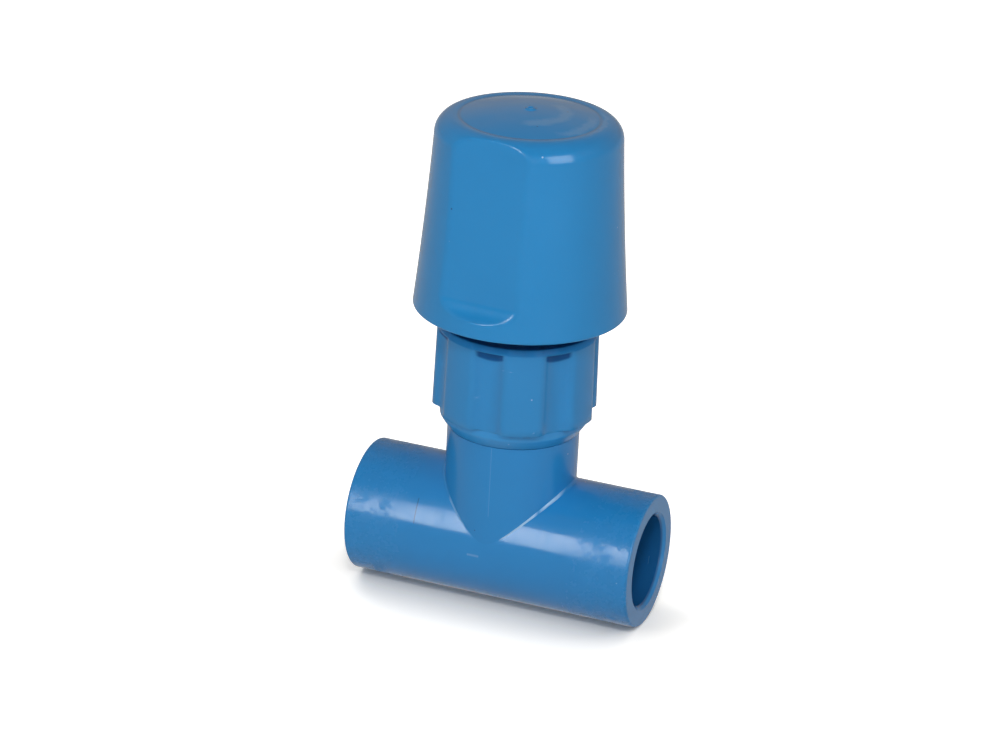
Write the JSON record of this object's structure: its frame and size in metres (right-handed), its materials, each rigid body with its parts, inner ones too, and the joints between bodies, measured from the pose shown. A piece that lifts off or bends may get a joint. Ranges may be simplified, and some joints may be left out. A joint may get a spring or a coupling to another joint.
{
  "type": "shut-off valve",
  "caption": "Screw-down shut-off valve for glued plastic pipe: tee body with plain sockets, fluted union nut and a tall cup handle that rises as it is turned open.",
  "frame": {"origin": "under the middle of the body tube, on the spindle's axis", "axes": "+X along the flow, out of the outlet socket; +Z along the spindle, towards the handle"},
  "size_m": [0.0662, 0.0462, 0.113],
  "materials": {
    "body_plastic": "moulded, glossy",
    "handle_plastic": "moulded, glossy",
    "inner_plastic": "moulded, satin",
    "black_rubber": "matte",
    "yellow_metal": "turned",
    "steel": "bright"
  },
  "bodies": {
    "valve_body": {"body": "body_plastic", "bonnet_nut": "body_plastic", "slip_ring": "inner_plastic", "bonnet": "inner_plastic", "bonnet_gasket": "black_rubber", "bonnet_o_ring": "black_rubber", "gland_washer": "yellow_metal", "gland_packing": "black_rubber", "gland_nut": "inner_plastic"},
    "plug_set": {"plug": "inner_plastic", "plug_clip": "steel", "seat_washer": "black_rubber", "washer_plate": "steel", "washer_screw": "steel"},
    "spindle": {"stem": "inner_plastic", "back_seat_washer": "yellow_metal", "handle": "handle_plastic", "handle_clip": "steel"}
  },
  "joints": [
    {"name": "plug_lift", "type": "slide", "parent": "valve_body", "child": "plug_set", "axis": [0, 0, 1], "range_m": [0, 0.006]},
    {"name": "handle_turn", "type": "hinge", "parent": "plug_set", "child": "spindle", "pos_m": [0, 0, 0.09], "axis": [0, 0, 1], "range_deg": [0, 1080]}
  ],
  "couplings": [
    {"joint": "plug_lift", "follows": "handle_turn", "m_per_rad": 0.0003183}
  ]
}
